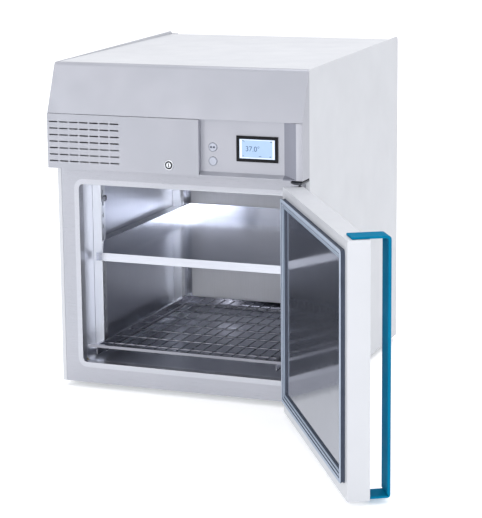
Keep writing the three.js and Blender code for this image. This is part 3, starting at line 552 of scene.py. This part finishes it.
# (inset, height, material) points of the profiles, in mm
GASKET = [
    (0, 0, PAINTED_FOLD_SHADE), (0.3, 1.5, PAINTED_FOLD_SHADE), (1.6, 2.4, PAINTED_FOLD_SHADE), (1.8, 6.0, PAINTED_FOLD_SHADE), (0.5, 7.0, PAINTED_FOLD_SHADE),
    (0.4, 9.6, RUBBER_SKIN), (1.6, 11.0, RUBBER_SKIN), (4.0, 11.6, RUBBER_SKIN), (8.6, 11.3, RUBBER_SKIN),
    (9.8, 10.4, PAINTED_FOLD_SHADE), (10.4, 8.2, PAINTED_FOLD_SHADE), (11.6, 8.2, PAINTED_FOLD_SHADE), (12.0, 9.4, RUBBER_SKIN),
    (13.6, 9.9, RUBBER_SKIN), (15.4, 9.2, RUBBER_SKIN), (16.0, 7.6, PAINTED_FOLD_SHADE), (16.6, 3.0, PAINTED_FOLD_SHADE), (17, 0, PAINTED_FOLD_SHADE),
]
# outlines in the drawn frame: x0, x1, z0, z1 in mm
SEAL_BOX = (-317, 334, 31, 555)
MOULDING_BOX = (-299.7, 316.7, 48.3, 537.7)
LIP_BOX = (-308, 308, 42, 557)
SEAL_CORNER, MOULDING_CORNER, LIP_CORNER = 9, 5, 26
LEAF_FACE = -12.2  # Y of the closed door's inner face
seal = piece(
    "door_gasket",
    frame_sweep(SEAL_BOX, GASKET, SEAL_CORNER, LEAF_FACE, CLOSED_TO_REST),
    (SEAL, SEAL_PAINTED_SHADE), "door",
)
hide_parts("door_seal")

# painted shade: material 1 puts the darker rubber on the moulding's inner wall, where shade falls
MOULDING = [
    (0, 0, 0), (0, 5.5, 0), (0.8, 6.8, 0), (2.2, 7.2, 0), (5.2, 6.8, 0), (6.4, 5.6, 1), (7.0, 2.4, 1),
    (8, 1.6, 1), (8, 0, 0),
]
moulding = piece(
    "panel_moulding",
    frame_sweep(MOULDING_BOX, MOULDING, MOULDING_CORNER, LEAF_FACE, CLOSED_TO_REST),
    (GREY_FRAME, SEAL_PAINTED_SHADE), "door",
)
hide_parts("inner_panel_frame")

# the rolled rim round the chamber's mouth
LIP = [(0, 0, 0), (0.5, -0.25, 0), (13.4, -0.25, 0), (14, 0, 0)]
piece(
    "opening_lip",
    frame_sweep(LIP_BOX, LIP, LIP_CORNER, 0, DRAWN_TO_REST),
    (TRIM,), "cabinet",
)

# ---------------------------------------------------------------- hood: vents, lock, buttons and display
vent_lo, vent_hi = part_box("vent_panel")
face_y = vent_lo.y
SHEET_T, SHEET_EDGE = 0.002, 0.0003
RETURN_START, RETURN_RISE = 0.0012, 0.0024  # the cover's folded right edge: behind its face, above its foot
# the cover's rows of dashes, in metres; the first dash's lower left corner is at DASH_LEFT, DASH_TOP
DASH_ROWS, DASH_COLUMNS = 7, 7
DASH_LENGTH, DASH_HEIGHT = 0.0255, 0.0034
DASH_LEFT, DASH_TOP = -0.3495, 0.7303
DASH_PITCH_X, DASH_PITCH_Z = 0.0293, 0.0172


def pill(x0, z0, length, height, steps=6):
    """The outline of a slot with round ends."""
    r = height / 2
    points = []
    for cx, start in ((x0 + length - r, -90), (x0 + r, 90)):
        for i in range(steps + 1):
            a = math.radians(start + 180 * i / steps)
            points.append((cx + r * math.cos(a), z0 + r * math.sin(a)))
    return points


outlines = [[
    (vent_lo.x, vent_lo.z), (vent_hi.x, vent_lo.z), (vent_hi.x, vent_hi.z), (vent_lo.x, vent_hi.z)
]]
for row in range(DASH_ROWS):
    for column in range(DASH_COLUMNS):
        outlines.append(pill(
            DASH_LEFT + column * DASH_PITCH_X, DASH_TOP - row * DASH_PITCH_Z, DASH_LENGTH, DASH_HEIGHT,
        ))
mesh = bmesh.new()
join_curve(
    mesh,
    flat_curve(outlines, SHEET_T, SHEET_EDGE),
    Matrix.Translation((0, face_y + SHEET_T / 2, 0)) @ FACING_FRONT,
)
slab(
    mesh, vent_hi.x - SHEET_T, vent_hi.x, face_y + RETURN_START, vent_hi.y,
    vent_lo.z + RETURN_RISE, vent_hi.z,
)
grille = piece("vent_grille", mesh, (SILVER,), "cabinet")
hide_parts("vent_panel")

# (radius, height in front of the cover) points in mm
FORWARD = (0, -1, 0)
DARK_PART = 1
BORE = [(7.0, -9.4), (7.0, 0.7)]
DARK_RING = [(7.0, 0.7), (10.1, 0.7)]
ROSE = [
    (10.1, 0.7), (10.3, 2.2), (10.9, 2.8), (12.2, 2.8), (13, 1.9), (13, 0.35), (9.5, 0.35),
    (9.5, -9.4), (7.0, -9.4),
]
PLUG = [(6.7, -11.4), (6.7, 2.9), (6.2, 3.4), (5.3, 3.4), (5.0, 2.9), (0.05, 2.9)]
KEYWAY_HALF_WIDTH, KEYWAY_HALF_HEIGHT = 0.0013, 0.0045
KEYWAY_FRONT, KEYWAY_BACK = 0.0031, 0.0026

housing = centre_of("lock_housing")
lock_at = (housing.x, face_y, housing.z)
mesh = bmesh.new()
lathe(mesh, BORE, lock_at, FORWARD, 48, capped=False)
lathe(mesh, DARK_RING, lock_at, FORWARD, 48, material=DARK_PART, capped=False)
lathe(mesh, ROSE, lock_at, FORWARD, 48, capped=False)
lock_rose = piece("lock_rose", mesh, (STRIP, BLACK), "cabinet")
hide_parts("lock_housing")

mesh = bmesh.new()
lathe(mesh, PLUG, lock_at, FORWARD, 40)
# painted shadow: a thin black slab on the plug's face stands in for the shade inside the keyway
slab(
    mesh, housing.x - KEYWAY_HALF_WIDTH, housing.x + KEYWAY_HALF_WIDTH,
    face_y - KEYWAY_FRONT, face_y - KEYWAY_BACK,
    housing.z - KEYWAY_HALF_HEIGHT, housing.z + KEYWAY_HALF_HEIGHT, DARK_PART,
)
barrel = piece("lock_plug", mesh, (STRIP, BLACK), "lock")
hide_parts("lock_barrel")

BUTTON_RIM = [(9.9, -0.3), (9.9, 0.12), (10.15, 0.2), (10.5, 0.2), (10.7, 0.12), (10.7, -0.3)]
MARK_LENGTH, MARK_HEIGHT, MARK_T, MARK_EDGE = 0.0066, 0.005, 0.0003, 0.00005
MARK_PROUD = 0.0001
MARK_STARTS = (-0.0078, 0.0002)
for node in ("upper_button", "lower_button"):
    front_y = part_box(node)[0].y
    middle = centre_of(node)
    mesh = bmesh.new()
    lathe(mesh, BUTTON_RIM, (middle.x, front_y, middle.z), FORWARD, 48, capped=False)
    piece(f"{node}_ring", mesh, (DISC_EDGE,), node)
    if node == "upper_button":
        place = Matrix.Translation((0, front_y - MARK_PROUD, 0)) @ FACING_FRONT
        for i, start in enumerate(MARK_STARTS):
            mark = pill(middle.x + start, middle.z, MARK_LENGTH, MARK_HEIGHT)
            mesh = bmesh.new()
            join_curve(mesh, flat_curve([mark], MARK_T, MARK_EDGE), place)
            piece(f"button_mark_{i + 1}", mesh, (MARK,), node)

screen_lo, screen_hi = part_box("display_screen")
wide, high = screen_hi.x - screen_lo.x, screen_hi.z - screen_lo.z
SCREEN_SKIN, SKIN_EDGE = 0.0001, 0.00002
FONT_SIZE, READING_LEFT, READING_BOTTOM = 0.0185, 0.17, 0.38
# icons as left, bottom, width and height, in parts of the screen
ICONS = (
    (0.09, 0.9, 0.03, 0.035), (0.125, 0.85, 0.02, 0.03), (0.88, 0.87, 0.035, 0.05),
    (0.85, 0.12, 0.045, 0.03), (0.09, 0.12, 0.03, 0.03), (0.55, 0.12, 0.07, 0.025),
)


def on_screen(name, outlines, surface):
    """Lays a thin filled drawing on the screen."""
    mesh = bmesh.new()
    place = Matrix.Translation((0, screen_lo.y - SCREEN_SKIN / 2, 0)) @ FACING_FRONT
    join_curve(mesh, flat_curve(outlines, SCREEN_SKIN, SKIN_EDGE), place)
    piece(name, mesh, (surface,), "cabinet")


def screen_rectangle(left, right, bottom, top):
    """The outline of a rectangle given as parts of the screen's width and height."""
    x0, x1 = screen_lo.x + left * wide, screen_lo.x + right * wide
    z0, z1 = screen_lo.z + bottom * high, screen_lo.z + top * high
    return [(x0, z0), (x1, z0), (x1, z1), (x0, z1)]


border = [screen_rectangle(0.005, 0.995, 0.01, 0.99), screen_rectangle(0.07, 0.935, 0.06, 0.95)]
on_screen("screen_border", border, PAPER)
for i, (x, z, w, h) in enumerate(ICONS):
    on_screen(f"screen_icon_{i + 1}", [screen_rectangle(x, x + w, z, z + h)], INK)

letters = bpy.data.curves.new("reading", "FONT")
letters.body = "37.0°"
letters.size = FONT_SIZE
letters.extrude = SCREEN_SKIN / 2
reading_at = (
    screen_lo.x + READING_LEFT * wide,
    screen_lo.y - SCREEN_SKIN / 2,
    screen_lo.z + READING_BOTTOM * high,
)
mesh = bmesh.new()
join_curve(mesh, letters, Matrix.Translation(reading_at) @ FACING_FRONT)
piece("screen_reading", mesh, (INK,), "cabinet")

# ---------------------------------------------------------------- chamber: tray and thumb screws
tray_lo, tray_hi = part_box("lower_tray")
TRAY_HALF = 0.2584  # half the width of the tray's body, without the ends of its front rail
WEB, HEM, HEM_T, RAIL = 0.002, 0.008, 0.0012, 0.008
REAR_WEB_RISE = 0.008
WIRES, WIRE_R, WIRE_DROP = 16, 0.00175, 0.0035
BARS, BAR_R, FIRST_BAR, BAR_PITCH = 7, 0.00275, 0.063, 0.08
WELD_DEPTH = 0.0003
tray_front, tray_back, tray_top = tray_lo.y, tray_hi.y, tray_hi.z
wire_z = tray_top - WIRE_DROP - WIRE_R
bar_z = wire_z - WIRE_R - BAR_R + WELD_DEPTH
mesh = bmesh.new()
slab(mesh, tray_lo.x, tray_hi.x, tray_front, tray_front + RAIL, tray_top - RAIL, tray_top)
slab(mesh, -TRAY_HALF, TRAY_HALF, tray_back - WEB, tray_back, tray_lo.z + REAR_WEB_RISE, tray_top)
for side in (-1, 1):
    for inner, z0 in ((TRAY_HALF - WEB, tray_lo.z), (TRAY_HALF - HEM, tray_top - HEM_T)):
        x0, x1 = sorted((side * TRAY_HALF, side * inner))
        slab(mesh, x0, x1, tray_front + RAIL, tray_back - WEB, z0, tray_top)
piece("tray_frame", mesh, (WIRE,), "tray", 0.5)

mesh = bmesh.new()
for i in range(1, WIRES):
    x = (TRAY_HALF - WEB) * (2 * i / WIRES - 1)
    tube(mesh, [(x, tray_front + RAIL / 2, wire_z), (x, tray_back - WEB / 2, wire_z)], WIRE_R / MM)
for i in range(BARS):
    y = tray_front + FIRST_BAR + i * BAR_PITCH
    tube(mesh, [(-TRAY_HALF + WEB / 2, y, bar_z), (TRAY_HALF - WEB / 2, y, bar_z)], BAR_R / MM, 12)
grid = piece("tray_wires", mesh, (WIRE,), "tray")
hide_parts("lower_tray")

# a knurled screw near the top of each upright, on its face towards the chamber
KNOB = [
    (0.05, 0), (4.4, 0), (4.4, 2.4), (7.4, 2.6), (8.0, 3.2), (8.0, 7.6), (7.4, 8.4), (3.4, 8.6),
    (2.8, 8.0), (0.05, 8.0),
]
UPRIGHT_FACE_X, KNOB_HEIGHT = 0.2685, 0.491
for end, y in (("front", 0.0925), ("rear", 0.6295)):
    for side, name in ((-1, "left"), (1, "right")):
        mesh = bmesh.new()
        at = DRAWN_TO_REST @ Vector((side * UPRIGHT_FACE_X, y, KNOB_HEIGHT))
        lathe(mesh, KNOB, at, (-side, 0, 0), 36, knurl=0.5)
        piece(f"thumb_screw_{end}_{name}_1", mesh, (WIRE,), "cabinet")

# ---------------------------------------------------------------- screws in the rear panel
rear_lo, rear_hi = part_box("rear_panel")
HEAD = [(0.05, 0.0), (4.0, 0.0), (3.9, 0.6), (3.0, 1.25), (1.6, 1.5), (0.9, 1.5), (0.7, 0.7), (0.05, 0.7)]
SCREW_INSET = 0.014
middle_z = (rear_lo.z + rear_hi.z) / 2
columns = (rear_lo.x + SCREW_INSET, 0.0, rear_hi.x - SCREW_INSET)
rows = (rear_lo.z + SCREW_INSET, middle_z, rear_hi.z - SCREW_INSET)
spots = [(x, z) for x in columns for z in rows]
spots.remove((0.0, middle_z))
for i, (x, z) in enumerate(spots):
    mesh = bmesh.new()
    lathe(mesh, HEAD, (x, rear_hi.y, z), (0, 1, 0), 24)
    piece(f"rear_screw_{i + 1}", mesh, (GALVANISED,), "cabinet")

# ---------------------------------------------------------------- stage, lights and camera
FLOOR_HALF, FLOOR_GAP = 30, 0.0005
# metres out, along the front left diagonal, between which the floor goes from bright to dimmer
DIM_FROM, DIM_TO = 1.75, 3.2
GLOW_NEAR, GLOW_FAR = 0.3, 0.12

floor_mesh = bpy.data.meshes.new("floor")
corners = [(x * FLOOR_HALF, y * FLOOR_HALF, 0) for x, y in ((-1, -1), (1, -1), (1, 1), (-1, 1))]
floor_mesh.from_pydata(corners, [], [(0, 1, 2, 3)])
floor = bpy.data.objects.new("floor", floor_mesh)
floor.location = (0, 0, lo0.z - FLOOR_GAP)
bpy.context.scene.collection.objects.link(floor)

pale = Surface("floor_pale", (0.93, 0.935, 0.94, 1), 0.85)
pale.vary_colour(pale.noise(2, 2), (0.92, 0.925, 0.93, 1))
# the dimmer floor far out is what the front's metal faces reflect, so they get soft gradients
outwards = pale.node("ShaderNodeVectorMath", operation="DOT_PRODUCT")
pale.link(pale.coords(), outwards.inputs[0])
outwards.inputs[1].default_value = (-0.7, -0.7, 0)
pale.vary_colour(outwards.outputs["Value"], (0.66, 0.665, 0.68, 1), DIM_FROM, DIM_TO)
pale.set("Emission Color", (1, 1, 1, 1))
glow = pale.ramp(outwards.outputs["Value"], GLOW_NEAR, GLOW_FAR, DIM_FROM, DIM_TO)
pale.link(glow, pale.shader.inputs["Emission Strength"])
floor.data.materials.append(pale.material)

world = bpy.data.worlds.new("studio")
world.use_nodes = True


def studio_sky(tree, behind, ahead, side, overhead):
    """Light colours by direction: behind the cabinet, ahead of it, to its sides and above it."""
    place = tree.nodes.new("ShaderNodeTexCoord")
    axes = tree.nodes.new("ShaderNodeSeparateXYZ")
    tree.links.new(place.outputs["Generated"], axes.inputs[0])
    colour = None
    for axis, start, end, other in (
        ("Y", 0.5, -0.5, ahead),
        ("X", -0.5, -0.95, side),
        ("X", 0.5, 0.95, side),
        ("Z", 0.2, 0.8, overhead),
    ):
        part = tree.nodes.new("ShaderNodeMapRange")
        part.interpolation_type = "SMOOTHSTEP"
        part.inputs["From Min"].default_value = start
        part.inputs["From Max"].default_value = end
        tree.links.new(axes.outputs[axis], part.inputs["Value"])
        mix = tree.nodes.new("ShaderNodeMix")
        mix.data_type = "RGBA"
        tree.links.new(part.outputs["Result"], mix.inputs["Factor"])
        if colour:
            tree.links.new(colour, mix.inputs[MIX_A])
        else:
            mix.inputs[MIX_A].default_value = behind
        mix.inputs[MIX_B].default_value = other
        colour = mix.outputs[MIX_RESULT]
    tree.links.new(colour, tree.nodes["Background"].inputs["Color"])


studio_sky(
    world.node_tree,
    behind=(1.06, 1.06, 1.08, 1), ahead=(0.82, 0.825, 0.85, 1),
    side=(0.42, 0.425, 0.44, 1), overhead=(0.98, 0.985, 1.01, 1),
)
world.node_tree.nodes["Background"].inputs["Strength"].default_value = 1.0
bpy.context.scene.world = world


def aim(obj, at, towards):
    """Puts a lamp at a place, shining towards another, and adds it to the scene."""
    obj.location = at
    obj.rotation_euler = (Vector(towards) - Vector(at)).to_track_quat("-Z", "Y").to_euler()
    bpy.context.scene.collection.objects.link(obj)


def softbox(name, watts, size, at, towards):
    """A rectangular area light."""
    light = bpy.data.lights.new(name, "AREA")
    light.shape = "RECTANGLE"
    light.size, light.size_y = size
    light.energy = watts
    aim(bpy.data.objects.new(name, light), at, towards)


softbox("key", 16, (2.2, 2.0), (-2.2, -3.4, 2.4), (0, 0, 0.5))
softbox("low_left", 10, (0.9, 1.4), (-2.2, -2.9, 0.8), (0, -0.3, 0.35))
softbox("front", 40, (1.4, 1.2), (1.3, -4.2, 1.3), (-0.05, 0.2, 0.3))
softbox("top", 37, (2.4, 2.4), (0.4, 0.0, 3.4), (0, 0, 0.4))
softbox("right", 5, (2.0, 2.0), (3.4, 1.2, 1.4), (0.4, -0.1, 0.4))

# a narrow soft spot from beside the camera lights the inside of the chamber
spot = bpy.data.lights.new("chamber_spot", "SPOT")
spot.energy = 95
spot.spot_size = math.radians(9.5)
spot.spot_blend = 0.7
spot.shadow_soft_size = 0.25
aim(bpy.data.objects.new("chamber_spot", spot), (1.6, -4.4, 1.25), (-0.03, 0.1, 0.36))

# the camera's place in metres, and its turns in radians: to the left, down and on its side
CAMERA_AT = (1.84994, -4.64448, 1.36494)
CAMERA_YAW, CAMERA_PITCH, CAMERA_ROLL = 0.376, 0.182, -0.010
data = bpy.data.cameras.new("camera")
data.sensor_width = 36.0
data.lens = 126.15
data.shift_y = -0.1
camera = bpy.data.objects.new("camera", data)
bpy.context.scene.collection.objects.link(camera)
forward = Vector((
    -math.sin(CAMERA_YAW) * math.cos(CAMERA_PITCH),
    math.cos(CAMERA_YAW) * math.cos(CAMERA_PITCH),
    -math.sin(CAMERA_PITCH),
))
level = Vector((math.cos(CAMERA_YAW), math.sin(CAMERA_YAW), 0.0))
upright = level.cross(forward)
right = level * math.cos(CAMERA_ROLL) + upright * math.sin(CAMERA_ROLL)
up = upright * math.cos(CAMERA_ROLL) - level * math.sin(CAMERA_ROLL)
camera.matrix_world = Matrix.Translation(CAMERA_AT) @ Matrix((right, up, -forward)).transposed().to_4x4()
bpy.context.scene.camera = camera
bpy.context.scene.view_settings.view_transform = "Standard"
